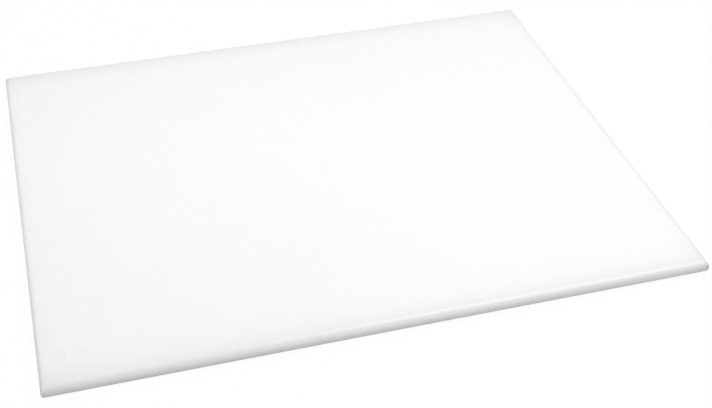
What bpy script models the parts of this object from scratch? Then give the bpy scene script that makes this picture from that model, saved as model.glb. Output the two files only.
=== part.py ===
# Commercial cutting board: one slab of white polyethylene, 24 by 18 inches and half an inch thick.
# Its edges are rounded over top and bottom, and a row of shallow round moulded marks is sunk in
# one corner of the cutting face.
#
# Metres, +Z up. The length runs along X and the width along Y. The underside rests on Z = 0,
# and the origin is the middle of the underside.

import math

import bmesh
import bpy

# The sheet that the board is cut from
BOARD_LENGTH = 0.6096
BOARD_WIDTH = 0.4572
BOARD_THICKNESS = 0.0127

# The rounded edge, and the corners as seen from above
EDGE_RADIUS = 0.0060
LEAST_SIDE_LAND = 0.0004
CORNER_RADIUS = 0.0015

# The round marks near the front left corner, counted along X
MARK_COUNT = 2
MARK_DIAMETER = 0.0155
MARK_PIP_DIAMETER = 0.0030
MARK_DEPTH = 0.0003
MARK_WALL_RUN = 0.0004
MARK_GAP = 0.0018
MARK_MARGIN_END = 0.0098
MARK_MARGIN_FRONT = 0.0270

# Facets in each quarter circle, and round each mark
EDGE_STEPS = 12
CORNER_STEPS = 6
MARK_STEPS = 56

# White polyethylene
BOARD_COLOUR = (0.93, 0.93, 0.925, 1.0)
BOARD_ROUGHNESS = 0.45


def clear_scene():
    for thing in list(bpy.data.objects):
        bpy.data.objects.remove(thing, do_unlink=True)


def quarter(steps):
    """Angles from 0 to 90 degrees, ends included."""
    return [math.pi / 2 * i / steps for i in range(steps + 1)]


def edge_profile(thickness, radius):
    """The side's outline from the top face down: (inset from the outermost point, height)."""
    top = [(radius * (1 - math.sin(a)), thickness - radius * (1 - math.cos(a))) for a in quarter(EDGE_STEPS)]
    bottom = [(radius * (1 - math.cos(a)), radius * (1 - math.sin(a))) for a in quarter(EDGE_STEPS)]
    return top + bottom


def rounded_rectangle(half_x, half_y, radius):
    """Points anticlockwise from the +X side, with an arc at each corner."""
    points = []
    for turn, (side_x, side_y) in enumerate(((1, 1), (-1, 1), (-1, -1), (1, -1))):
        for a in quarter(CORNER_STEPS):
            angle = turn * math.pi / 2 + a
            points.append((side_x * (half_x - radius) + radius * math.cos(angle),
                           side_y * (half_y - radius) + radius * math.sin(angle)))
    return points


def make_slab():
    """The board's body: the rounded rectangle swept down the edge profile, then closed by two flats."""
    radius = min(EDGE_RADIUS, (BOARD_THICKNESS - LEAST_SIDE_LAND) / 2)
    bm = bmesh.new()
    rings = []
    for inset, height in edge_profile(BOARD_THICKNESS, radius):
        outline = rounded_rectangle(BOARD_LENGTH / 2 - inset, BOARD_WIDTH / 2 - inset, CORNER_RADIUS)
        verts = [bm.verts.new((x, y, height)) for x, y in outline]
        rings.append([bm.edges.new((verts[i - 1], verts[i])) for i in range(len(verts))])
    for upper, lower in zip(rings, rings[1:]):
        bmesh.ops.bridge_loops(bm, edges=upper + lower)
    bmesh.ops.contextual_create(bm, geom=rings[0])
    bmesh.ops.contextual_create(bm, geom=rings[-1])
    bmesh.ops.recalc_face_normals(bm, faces=bm.faces)
    return bm


def make_mark_cutter():
    """A turned ring that sinks one round mark and leaves a pip standing in its middle."""
    rise = 2 * MARK_DEPTH
    slope = MARK_WALL_RUN / MARK_DEPTH
    outer = MARK_DIAMETER / 2
    inner = MARK_PIP_DIAMETER / 2
    section = [(inner - slope * rise, rise), (inner + MARK_WALL_RUN, -MARK_DEPTH),
               (outer - MARK_WALL_RUN, -MARK_DEPTH), (outer + slope * rise, rise)]
    bm = bmesh.new()
    verts = [bm.verts.new((r, 0.0, z)) for r, z in section]
    loop = [bm.edges.new((verts[i - 1], verts[i])) for i in range(len(verts))]
    bmesh.ops.spin(bm, geom=verts + loop, cent=(0, 0, 0), axis=(0, 0, 1), angle=2 * math.pi,
                   steps=MARK_STEPS, use_merge=True)
    bmesh.ops.recalc_face_normals(bm, faces=bm.faces)
    return bm


def add_object(name, bm, location=(0, 0, 0)):
    mesh = bpy.data.meshes.new(name)
    bm.to_mesh(mesh)
    bm.free()
    obj = bpy.data.objects.new(name, mesh)
    obj.location = location
    bpy.context.scene.collection.objects.link(obj)
    return obj


def make_polyethylene():
    material = bpy.data.materials.new("white_polyethylene")
    material.use_nodes = True
    shader = material.node_tree.nodes["Principled BSDF"]
    shader.inputs["Base Color"].default_value = BOARD_COLOUR
    shader.inputs["Roughness"].default_value = BOARD_ROUGHNESS
    shader.inputs["Metallic"].default_value = 0.0
    return material


def sink_marks(board):
    """Cut the row of marks into the cutting face, set off from the front left corner."""
    first_x = MARK_MARGIN_END + MARK_DIAMETER / 2 - BOARD_LENGTH / 2
    row_y = MARK_MARGIN_FRONT + MARK_DIAMETER / 2 - BOARD_WIDTH / 2
    for i in range(MARK_COUNT):
        place = (first_x + i * (MARK_DIAMETER + MARK_GAP), row_y, BOARD_THICKNESS)
        cutter = add_object("mark_cutter_%d" % (i + 1), make_mark_cutter(), place)
        cutter.hide_render = True
        cutter.display_type = "WIRE"
        cut = board.modifiers.new("sink mark %d" % (i + 1), "BOOLEAN")
        cut.operation = "DIFFERENCE"
        cut.object = cutter


clear_scene()
board = add_object("board", make_slab())
board.data.materials.append(make_polyethylene())
board.data.shade_smooth()
board.data.set_sharp_from_angle(angle=math.radians(20))
sink_marks(board)
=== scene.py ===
import math
from types import SimpleNamespace

import bpy
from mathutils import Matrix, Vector


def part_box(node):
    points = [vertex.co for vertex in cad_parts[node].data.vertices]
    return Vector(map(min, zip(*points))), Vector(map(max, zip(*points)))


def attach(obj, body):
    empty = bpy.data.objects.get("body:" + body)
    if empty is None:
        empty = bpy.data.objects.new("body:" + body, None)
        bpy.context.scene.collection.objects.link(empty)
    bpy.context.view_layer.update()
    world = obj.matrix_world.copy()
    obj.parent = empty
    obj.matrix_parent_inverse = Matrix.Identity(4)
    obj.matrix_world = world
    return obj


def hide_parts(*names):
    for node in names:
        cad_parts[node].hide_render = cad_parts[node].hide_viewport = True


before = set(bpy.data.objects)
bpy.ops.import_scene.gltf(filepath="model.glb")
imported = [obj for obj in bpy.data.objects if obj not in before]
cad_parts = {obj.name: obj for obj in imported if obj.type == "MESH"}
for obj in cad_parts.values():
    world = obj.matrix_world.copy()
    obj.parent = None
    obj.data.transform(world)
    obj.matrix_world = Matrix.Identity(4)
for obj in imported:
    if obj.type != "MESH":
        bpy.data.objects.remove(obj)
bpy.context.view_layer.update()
boardLow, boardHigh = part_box("board")
print("frame loaded, board", [round(high - low, 4) for low, high in zip(boardLow, boardHigh)])


class Field:      # a value in a node tree; arithmetic on it adds Math nodes
    def __init__(self, tree, socket):
        self.tree = tree
        self.socket = socket

    def __add__(self, other):
        return calc("ADD", self, other)

    def __radd__(self, other):
        return calc("ADD", other, self)

    def __sub__(self, other):
        return calc("SUBTRACT", self, other)

    def __rsub__(self, other):
        return calc("SUBTRACT", other, self)

    def __mul__(self, other):
        return calc("MULTIPLY", self, other)

    def __truediv__(self, other):
        return calc("DIVIDE", self, other)

    def __abs__(self):
        return calc("ABSOLUTE", self)


def feed(tree, socket, value):      # links a value of the tree, and writes a plain one
    if isinstance(value, Field):
        tree.links.new(value.socket, socket)
    else:
        socket.default_value = value


def calc(operation, *values):      # one Math node; at least one of the values is of the tree
    tree = next(value.tree for value in values if isinstance(value, Field))
    node = tree.nodes.new("ShaderNodeMath")
    node.operation = operation
    for socket, value in zip(node.inputs, values):
        feed(tree, socket, value)
    return Field(tree, node.outputs[0])


def remap(value, fromMin, fromMax, toMin, toMax, smooth=False):      # clamped at both ends
    node = value.tree.nodes.new("ShaderNodeMapRange")
    node.interpolation_type = "SMOOTHSTEP" if smooth else "LINEAR"
    settings = {"Value": value, "From Min": fromMin, "From Max": fromMax, "To Min": toMin, "To Max": toMax}
    for name, setting in settings.items():
        feed(value.tree, node.inputs[name], setting)
    return Field(value.tree, node.outputs["Result"])


def splitXyz(vector):
    node = vector.tree.nodes.new("ShaderNodeSeparateXYZ")
    feed(vector.tree, node.inputs[0], vector)
    return [Field(vector.tree, output) for output in node.outputs]


def joinXyz(x, y, z):
    node = x.tree.nodes.new("ShaderNodeCombineXYZ")
    for socket, value in zip(node.inputs, (x, y, z)):
        feed(x.tree, socket, value)
    return Field(x.tree, node.outputs[0])


def reach(a, b):      # distance from the origin
    return calc("SQRT", a * a + b * b)


# The board, in metres. Its length, width and thickness come from the frame.
boardShape = {
    "length": boardHigh.x - boardLow.x,
    "width": boardHigh.y - boardLow.y,
    "thickness": boardHigh.z - boardLow.z,
    "edgeRadius": 0.0060,
    "cornerRadius": 0.0015,
    "markCount": 2,
    "markDiameter": 0.0155,
    "markGap": 0.0018,
    "marginEnd": 0.0098,        # from the left side to the first mark
    "marginFront": 0.0270,      # from the front to the marks
    "pipDiameter": 0.0030,
    "markDepth": 0.00022,
    "markWall": 0.0007,         # how far a mark's wall runs as it falls
    "lipHeight": 0.00005,
    # Faces along each stretch
    "cornerSteps": 4,
    "edgeSteps": 14,
    "marginSteps": 4,
    "lengthSteps": 48,
    "widthSteps": 40,
    "pipSteps": 3,
    "wallSteps": 4,
    "floorSteps": 11,
    "lipSteps": 3,
}


def addInput(tree, name, value):
    kind = "NodeSocketInt" if isinstance(value, int) else "NodeSocketFloat"
    tree.interface.new_socket(name, in_out="INPUT", socket_type=kind).default_value = value


def workOutSizes(size):      # sizes that follow from those given
    size.border = size.edgeRadius + size.cornerRadius
    size.pitch = size.markDiameter + size.markGap
    size.leftRun = size.marginEnd - size.markGap / 2 - size.border
    size.frontRun = size.marginFront - size.markGap / 2 - size.border
    size.flatHalfX = size.length / 2 - size.edgeRadius
    size.flatHalfY = size.width / 2 - size.edgeRadius
    size.pipRadius = size.pipDiameter / 2
    size.markRadius = size.markDiameter / 2
    size.halfWall = size.markWall / 2
    size.ringSteps = size.pipSteps + size.wallSteps * 2 + size.floorSteps + size.lipSteps
    size.markSteps = size.ringSteps * 2
    size.firstMarkLine = size.cornerSteps + size.marginSteps


def boardStretches(size):      # (length, steps) of the flat's stretches, left to right and front to back
    corner = (size.cornerRadius, size.cornerSteps)
    rowLength = size.pitch * size.markCount
    rightRun = size.length - size.border * 2 - size.leftRun - rowLength
    backRun = size.width - size.border * 2 - size.frontRun - size.pitch
    along = [corner, (size.leftRun, size.marginSteps), (rowLength, size.markSteps * size.markCount),
             (rightRun, size.lengthSteps), corner]
    across = [corner, (size.frontRun, size.marginSteps), (size.pitch, size.markSteps),
              (backRun, size.widthSteps), corner]
    return along, across


def linePlace(line, stretches):      # how far along the stretches a grid line lies, from its number
    start, place = 0.0, 0.0
    for length, steps in stretches:
        end = start + steps
        place = place + remap(line, start, end, 0.0, length)
        start = end
    return place


def addGrid(tree, counts):      # a box of grid lines, one unit wide, and each point's line numbers
    grid = tree.nodes.new("GeometryNodeMeshCube")
    grid.inputs["Size"].default_value = (1, 1, 1)
    for axis, count in zip("XYZ", counts):
        feed(tree, grid.inputs["Vertices " + axis], count + 1)
    unit = splitXyz(Field(tree, tree.nodes.new("GeometryNodeInputPosition").outputs[0]))
    lines = [calc("ROUND", (place + 0.5) * count) for place, count in zip(unit, counts)]
    return Field(tree, grid.outputs["Mesh"]), lines


leastLength = 1e-9      # keeps the division below from dividing by nothing


def roundSquare(a, b):      # factor that bends squares round the origin into circles, for a and b >= 0
    return calc("MAXIMUM", a, b) / calc("MAXIMUM", reach(a, b), leastLength)


def markRings(size, lineX, lineY):      # each mark's square of grid lines becomes rings inside the outermost
    number = calc("FLOOR", (lineX - size.firstMarkLine) / size.markSteps)
    number = calc("MINIMUM", number, size.markCount - 1)
    stepX = lineX - (size.firstMarkLine + (number + 0.5) * size.markSteps)
    stepY = lineY - (size.firstMarkLine + size.ringSteps)
    ring = calc("MAXIMUM", abs(stepX), abs(stepY))
    inRings = calc("LESS_THAN", ring, size.ringSteps + 0.5)
    onMark = inRings * calc("GREATER_THAN", lineX, size.firstMarkLine - 0.5)

    wall = (size.markWall, size.wallSteps)
    radius = linePlace(ring, [(size.pipRadius - size.halfWall, size.pipSteps), wall,
                              (size.markRadius - size.pipRadius - size.markWall, size.floorSteps), wall,
                              (size.markGap / 2 - size.halfWall, size.lipSteps)])
    outermost = calc("GREATER_THAN", ring, size.ringSteps - 0.5)
    bend = roundSquare(abs(stepX), abs(stepY))
    bend = bend + outermost * (1 - bend)
    perStep = radius * bend / calc("MAXIMUM", ring, 1)
    firstX = size.cornerRadius + size.leftRun - size.flatHalfX
    firstY = size.cornerRadius + size.frontRun - size.flatHalfY
    x = firstX + (number + 0.5) * size.pitch + stepX * perStep
    y = firstY + size.pitch / 2 + stepY * perStep
    return onMark, radius, x, y


def markRelief(size, radius):      # shares of the sunk ring round the pip and of the lip round the mark
    pipFoot = remap(radius, size.pipRadius - size.halfWall, size.pipRadius + size.halfWall, 0, 1, True)
    floorEnd = remap(radius, size.markRadius - size.halfWall, size.markRadius + size.halfWall, 1, 0, True)
    lipRise = remap(radius, size.markRadius, size.markRadius + size.halfWall, 0, 1, True)
    lipFall = remap(radius, size.markRadius + size.halfWall, size.pitch / 2, 1, 0, True)
    return pipFoot * floorEnd, lipRise * lipFall


def roundCorners(size, x, y, standOut):      # the grid's squares at each corner become quarter discs
    straightX = size.flatHalfX - size.cornerRadius
    straightY = size.flatHalfY - size.cornerRadius
    overX = calc("MAXIMUM", abs(x) - straightX, 0)
    overY = calc("MAXIMUM", abs(y) - straightY, 0)
    curve = roundSquare(overX, overY)
    placed = []
    for value, straight, over in ((x, straightX, overX), (y, straightY, overY)):
        stretched = calc("MINIMUM", abs(value), straight) * (1 + standOut / straight)
        placed.append(calc("SIGN", value) * (stretched + over * curve))
    return placed


def keepOnPoints(geometry, name, value):      # stores a number on each point for the material to read
    node = geometry.tree.nodes.new("GeometryNodeStoreNamedAttribute")
    node.data_type = "FLOAT"
    node.domain = "POINT"
    for socket, setting in (("Geometry", geometry), ("Name", name), ("Value", value)):
        feed(geometry.tree, node.inputs[socket], setting)
    return Field(geometry.tree, node.outputs["Geometry"])


def buildBoardTree(material):
    tree = bpy.data.node_groups.new("boardTree", "GeometryNodeTree")
    for name, value in boardShape.items():
        addInput(tree, name, value)
    tree.interface.new_socket("Geometry", in_out="OUTPUT", socket_type="NodeSocketGeometry")
    inputs = tree.nodes.new("NodeGroupInput").outputs
    size = SimpleNamespace(**{name: Field(tree, inputs[name]) for name in boardShape})
    workOutSizes(size)

    # Places on the flat, from the board's middle
    along, across = boardStretches(size)
    countX, countY = [sum(steps for length, steps in stretches) for stretches in (along, across)]
    countZ = size.edgeSteps * 2 + 1
    grid, (lineX, lineY, lineZ) = addGrid(tree, (countX, countY, countZ))
    x = linePlace(lineX, along) - size.flatHalfX
    y = linePlace(lineY, across) - size.flatHalfY
    onMark, radius, ringX, ringY = markRings(size, lineX, lineY)
    x = x + onMark * (ringX - x)
    y = y + onMark * (ringY - y)

    # The rounded edge: each level of grid lines stands out from the flat by part of the edge radius
    angle = calc("MINIMUM", lineZ, countZ - lineZ) / size.edgeSteps * (math.pi / 2)
    standOut = size.edgeRadius * calc("SINE", angle)
    rise = size.edgeRadius * (1 - calc("COSINE", angle))
    isUpper = calc("GREATER_THAN", lineZ, countZ / 2)
    z = rise + isUpper * (size.thickness - rise * 2)
    x, y = roundCorners(size, x, y, standOut)

    sunk, lip = [onMark * isUpper * share for share in markRelief(size, radius)]
    z = z + lip * size.lipHeight - sunk * size.markDepth
    marked = keepOnPoints(keepOnPoints(grid, "sunk", sunk), "lip", lip)
    place = tree.nodes.new("GeometryNodeSetPosition")
    feed(tree, place.inputs["Geometry"], marked)
    feed(tree, place.inputs["Position"], joinXyz(x, y, z))

    realize = tree.nodes.new("GeometryNodeRealizeInstances")
    paint = tree.nodes.new("GeometryNodeSetMaterial")
    paint.inputs["Material"].default_value = material
    tree.links.new(place.outputs[0], realize.inputs[0])
    tree.links.new(realize.outputs[0], paint.inputs["Geometry"])
    tree.links.new(paint.outputs[0], tree.nodes.new("NodeGroupOutput").inputs["Geometry"])
    return tree


def meshFromTree(name, tree, sizes):      # runs the tree and keeps what it makes as a plain mesh
    host = bpy.data.objects.new(name, bpy.data.meshes.new(name))
    bpy.context.scene.collection.objects.link(host)
    modifier = host.modifiers.new("shape", "NODES")
    modifier.node_group = tree
    for item in tree.interface.items_tree:
        if item.in_out == "INPUT" and item.name in sizes:
            modifier[item.identifier] = sizes[item.name]
    evaluated = host.evaluated_get(bpy.context.evaluated_depsgraph_get())
    mesh = bpy.data.meshes.new_from_object(evaluated)
    host.modifiers.remove(modifier)
    host.data = mesh
    mesh.name = name
    mesh.shade_smooth()
    if mesh.materials[0] is None:      # an empty slot that the tree's box brings
        mesh.materials.pop(index=0)
    return host


# White polyethylene. Lengths in metres; shades and losses are shares of the colour.
plasticLook = {
    "colour": (0.93, 0.93, 0.93),
    "ior": 1.54,
    "translucentDepth": 0.003,
    "flatRoughness": 0.42,
    "edgeRoughness": 0.31,
    "markRoughness": 0.08,      # added to the flat's
    "edgeBlend": 0.0006,        # where the edge's finish turns into the flat's
    # Painted shade: each side darkens by its loss, which fades inwards over its reach; it stands in for the
    # light that leaks out through the translucent sides and for the lamps falling unevenly on each side
    "paintedSideShade": {"right": 0.10, "left": 0.07, "back": 0.19, "front": 0.155},
    "sideReach": {"right": 0.0085, "left": 0.010, "back": 0.0127, "front": 0.0145},
    # Two sides have a thin painted dark line too, standing in for the dim surroundings seen in the grazing
    # rim; it is whole up to its start
    "paintedRimShade": {"right": 0.13, "left": 0.19},
    "rimStart": {"right": 0.0034, "left": 0.0004},
    "rimReach": {"right": 0.0007, "left": 0.0004},
    # Painted shadow: the foot of the sides is darker, as if in the floor's contact shadow, and turns paler
    # between these heights
    "paintedFootShadow": 0.10,
    "footHeights": (0.0042, 0.0065),
    "markLoss": 0.020,
    # the lip round each mark gets a painted highlight: its colour is made paler
    "paintedLipHighlight": 0.008,
    "cloud": {"size": 0.11, "detail": 2.0, "range": (0.25, 0.75), "loss": 0.006},
    "patch": {"size": 0.018, "detail": 3.0, "range": (0.3, 0.7), "roughness": 0.015},
    "grain": {"size": 0.0006, "detail": 3.0, "height": 0.000012},
    "wave": {"size": 0.0045, "detail": 1.0, "height": 0.000025},
    "cutterLine": {"size": 0.0004, "detail": 2.0, "height": 0.000009, "length": 0.05},
    "fleck": {"spacing": 0.0045, "radii": (0.00011, 0.000308), "core": 0.6, "share": 0.10, "loss": 0.30},
    "nick": {"place": (-0.1385, -0.1963), "radius": 0.0020, "loss": 0.048},
}


def noise(place, look):      # runs from 0 to 1 in lumps of about the look's size
    node = place.tree.nodes.new("ShaderNodeTexNoise")
    feed(place.tree, node.inputs["Vector"], place)
    node.inputs["Scale"].default_value = 1 / look["size"]
    node.inputs["Detail"].default_value = look["detail"]
    return Field(place.tree, node.outputs[0])


def ripple(place, look):      # metres above and below the surface
    return remap(noise(place, look), 0, 1, -look["height"] / 2, look["height"] / 2)


def stored(tree, name):
    node = tree.nodes.new("ShaderNodeAttribute")
    node.attribute_name = name
    return Field(tree, node.outputs["Fac"])


def fade(inset, loss, span):      # share of the colour that a painted shade leaves at this inset
    return 1 - calc("EXPONENT", inset / -span) * loss


def sideShade(x, y, z):      # painted shade: what the foot's contact shadow, the four sides' leaking light and the two rims' dark lines leave of the colour
    shade = remap(z, *plasticLook["footHeights"], 1 - plasticLook["paintedFootShadow"], 1, True)
    halfLength, halfWidth = boardShape["length"] / 2, boardShape["width"] / 2
    insets = {"right": halfLength - x, "left": halfLength + x, "back": halfWidth - y, "front": halfWidth + y}
    for side, inset in insets.items():
        shade = shade * fade(inset, plasticLook["paintedSideShade"][side], plasticLook["sideReach"][side])
    # the thin dark lines along two rims are painted shade
    for side, start in plasticLook["rimStart"].items():
        past = calc("MAXIMUM", insets[side] - start, 0)
        shade = shade * fade(past, plasticLook["paintedRimShade"][side], plasticLook["rimReach"][side])
    return shade


def fleckMask(place):      # tiny specks in the sheet, at some of the points of a loose lattice
    look = plasticLook["fleck"]
    cells = place.tree.nodes.new("ShaderNodeTexVoronoi")
    feed(place.tree, cells.inputs["Vector"], place)
    cells.inputs["Scale"].default_value = 1 / look["spacing"]
    chance, growth = splitXyz(Field(place.tree, cells.outputs["Color"]))[:2]
    radius = remap(growth, 0, 1, *look["radii"]) / look["spacing"]
    away = Field(place.tree, cells.outputs["Distance"]) / radius
    return calc("LESS_THAN", chance, look["share"]) * remap(away, look["core"], 1, 1, 0, True)


def nickMask(x, y):
    nickX, nickY = plasticLook["nick"]["place"]
    return remap(reach(x - nickX, y - nickY), 0, plasticLook["nick"]["radius"], 1, 0, True)


def plasticShade(place, x, y, z):      # clouds, flecks, the nick, the marks and the painted highlight on their lips, on top of the sides' painted shade
    cloud = plasticLook["cloud"]
    shade = sideShade(x, y, z) * remap(noise(place, cloud), *cloud["range"], 1 - cloud["loss"], 1)
    losses = ((stored(place.tree, "sunk"), plasticLook["markLoss"]),
              (stored(place.tree, "lip"), -plasticLook["paintedLipHighlight"]),
              (fleckMask(place), plasticLook["fleck"]["loss"]),
              (nickMask(x, y), plasticLook["nick"]["loss"]))
    for mask, loss in losses:
        shade = shade * (1 - mask * loss)
    return shade


def plasticRoughness(place, onEdge):      # satin flats, smoother edges, matter marks
    patch = plasticLook["patch"]
    patchy = remap(noise(place, patch), *patch["range"], -patch["roughness"], patch["roughness"])
    base = remap(onEdge, 0, 1, plasticLook["flatRoughness"], plasticLook["edgeRoughness"])
    return base + patchy + stored(place.tree, "sunk") * plasticLook["markRoughness"]


def plasticRelief(place, insetX, insetY, onEdge):      # grain on the flats, and cutter lines along the edges
    x, y, z = splitXyz(place)
    cutterLine = plasticLook["cutterLine"]
    runsAlongX = calc("GREATER_THAN", insetX, insetY)
    run = (runsAlongX * x + (1 - runsAlongX) * y) * (cutterLine["size"] / cutterLine["length"])
    stretched = joinXyz(run, calc("MINIMUM", insetX, insetY), z)
    flat = ripple(place, plasticLook["grain"]) + ripple(place, plasticLook["wave"])
    return (1 - onEdge) * flat + onEdge * ripple(stretched, cutterLine)


def buildPolyethylene():
    material = bpy.data.materials.new("whitePolyethylene")
    material.use_nodes = True
    tree = material.node_tree
    shader = tree.nodes["Principled BSDF"]
    place = Field(tree, tree.nodes.new("ShaderNodeTexCoord").outputs["Object"])
    x, y, z = splitXyz(place)
    insetX = boardShape["length"] / 2 - abs(x)
    insetY = boardShape["width"] / 2 - abs(y)
    radius = boardShape["edgeRadius"]
    onEdge = remap(calc("MINIMUM", insetX, insetY), radius - plasticLook["edgeBlend"], radius, 1, 0, True)

    tint = tree.nodes.new("ShaderNodeVectorMath")
    tint.operation = "SCALE"
    tint.inputs[0].default_value = plasticLook["colour"]
    feed(tree, tint.inputs["Scale"], plasticShade(place, x, y, z))
    tree.links.new(tint.outputs[0], shader.inputs["Base Color"])
    feed(tree, shader.inputs["Roughness"], plasticRoughness(place, onEdge))

    bump = tree.nodes.new("ShaderNodeBump")
    bump.inputs["Distance"].default_value = 1.0
    feed(tree, bump.inputs["Height"], plasticRelief(place, insetX, insetY, onEdge))
    tree.links.new(bump.outputs["Normal"], shader.inputs["Normal"])

    shader.inputs["IOR"].default_value = plasticLook["ior"]
    shader.inputs["Subsurface Weight"].default_value = 1.0
    shader.inputs["Subsurface Radius"].default_value = (1.0, 1.0, 1.0)
    shader.inputs["Subsurface Scale"].default_value = plasticLook["translucentDepth"]
    return material


board = meshFromTree("cuttingBoard", buildBoardTree(buildPolyethylene()), boardShape)
print("board", len(board.data.polygons), "faces")
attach(board, "root")
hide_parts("board")

# Camera, metres and degrees, for an image of 712 x 408
photoCamera = {
    "place": (-0.2555, -0.8144, 0.7100),
    "angles": (48.389, -0.296, -14.292),
    "sensorWidth": 36.0,      # millimetres, as the lens
    "lens": 54.70,
    "shift": (0.10507, 0.00070),
    "clipStart": 0.01,
}


def addCamera():
    data = bpy.data.cameras.new("photoCamera")
    data.sensor_width = photoCamera["sensorWidth"]
    data.lens = photoCamera["lens"]
    data.shift_x, data.shift_y = photoCamera["shift"]
    data.clip_start = photoCamera["clipStart"]
    camera = bpy.data.objects.new("photoCamera", data)
    camera.location = photoCamera["place"]
    camera.rotation_euler = [math.radians(angle) for angle in photoCamera["angles"]]
    bpy.context.scene.collection.objects.link(camera)
    bpy.context.scene.camera = camera


# Square lamps: the place of each, the point it faces, its size in metres and its power in watts
studioLamps = {
    "softboxRight": {"place": (0.72, -0.19, 1.19), "target": (0, 0, 0), "size": 0.8, "power": 4.63},
    "softboxFront": {"place": (0.18, -1.30, 0.48), "target": (0, 0, 0), "size": 0.8, "power": 1.91},
    "softboxLeft": {"place": (-0.81, -0.57, 0.99), "target": (0, 0, 0), "size": 0.8, "power": 1.68},
    "panelBackLeft": {"place": (-0.85, 0.35, 0.50), "target": (-0.15, 0.10, 0), "size": 0.5, "power": 0.75},
    "panelRight": {"place": (0.65, -0.35, 0.75), "target": (0.10, -0.05, 0), "size": 0.5, "power": 0.23},
    "panelOverRight": {"place": (0.25, 0.10, 0.70), "target": (0.25, 0.10, 0), "size": 0.4, "power": 0.99},
    "panelOverLeft": {"place": (-0.20, 0.08, 0.40), "target": (-0.20, 0.08, 0), "size": 0.25, "power": 0.17},
}


def addLamps():
    for name, lamp in studioLamps.items():
        data = bpy.data.lights.new(name, "AREA")
        data.shape = "SQUARE"
        data.size = lamp["size"]
        data.energy = lamp["power"]
        light = bpy.data.objects.new(name, data)
        light.location = lamp["place"]
        away = Vector(lamp["target"]) - Vector(lamp["place"])
        light.rotation_euler = away.to_track_quat("-Z", "Y").to_euler()
        light.visible_camera = False
        bpy.context.scene.collection.objects.link(light)


# The white surroundings
studioLook = {
    "worldStrength": 0.539,
    "floorHalf": 8.0,
    "floorGap": 0.0002,        # below the board
    "floorRoughness": 0.9,
    "floorBounce": 0.52,       # share of the light that the floor throws back at the board
    "whiteShare": 0.95,        # the rest comes from the lamps, and keeps the board's shadow
    "whiteShareInGloss": 0.4,
    "shadowReach": 0.6,        # the floor turns wholly white between these distances from the middle
    "whiteReach": 1.6,
}
backgroundRays = ("Is Camera Ray", "Is Glossy Ray", "Is Transmission Ray")


def isRay(tree, kinds):      # 1 for rays of these kinds, 0 for all others
    rays = tree.nodes.new("ShaderNodeLightPath")
    found = 0
    for kind in kinds:
        found = calc("MAXIMUM", Field(tree, rays.outputs[kind]), found)
    return found


def addWorld():
    world = bpy.data.worlds.new("studioWorld")
    bpy.context.scene.world = world
    world.use_nodes = True
    tree = world.node_tree
    background = tree.nodes["Background"]
    background.inputs["Color"].default_value = (1, 1, 1, 1)
    strength = remap(isRay(tree, backgroundRays), 0, 1, studioLook["worldStrength"], 1)
    feed(tree, background.inputs["Strength"], strength)


def buildPaleFloor():
    material = bpy.data.materials.new("paleFloor")
    material.use_nodes = True
    tree = material.node_tree
    shader = tree.nodes["Principled BSDF"]
    shader.inputs["Roughness"].default_value = studioLook["floorRoughness"]
    shader.inputs["Specular IOR Level"].default_value = 0.0
    seen = isRay(tree, backgroundRays)
    shade = remap(seen, 0, 1, studioLook["floorBounce"], 1)
    feed(tree, shader.inputs["Base Color"], joinXyz(shade, shade, shade))

    x, y = splitXyz(Field(tree, tree.nodes.new("ShaderNodeTexCoord").outputs["Object"]))[:2]
    start, end = studioLook["shadowReach"], studioLook["whiteReach"]
    whiteShare = remap(reach(x, y), start, end, studioLook["whiteShare"], 1, True)
    share = remap(isRay(tree, ("Is Camera Ray",)), 0, 1, studioLook["whiteShareInGloss"], whiteShare)
    white = tree.nodes.new("ShaderNodeEmission")
    white.inputs["Color"].default_value = (1, 1, 1, 1)
    mix = tree.nodes.new("ShaderNodeMixShader")
    feed(tree, mix.inputs["Fac"], seen * share)
    tree.links.new(shader.outputs[0], mix.inputs[1])
    tree.links.new(white.outputs[0], mix.inputs[2])
    tree.links.new(mix.outputs[0], tree.nodes["Material Output"].inputs["Surface"])
    return material


def addFloor():
    half, level = studioLook["floorHalf"], boardLow.z - studioLook["floorGap"]
    corners = [(-half, -half, level), (half, -half, level), (half, half, level), (-half, half, level)]
    mesh = bpy.data.meshes.new("studioFloor")
    mesh.from_pydata(corners, [], [(0, 1, 2, 3)])
    mesh.materials.append(buildPaleFloor())
    floor = bpy.data.objects.new("studioFloor", mesh)
    bpy.context.scene.collection.objects.link(floor)


addCamera()
addLamps()
addWorld()
addFloor()
bpy.context.scene.view_settings.view_transform = "Standard"
print("camera, lamps and floor placed")
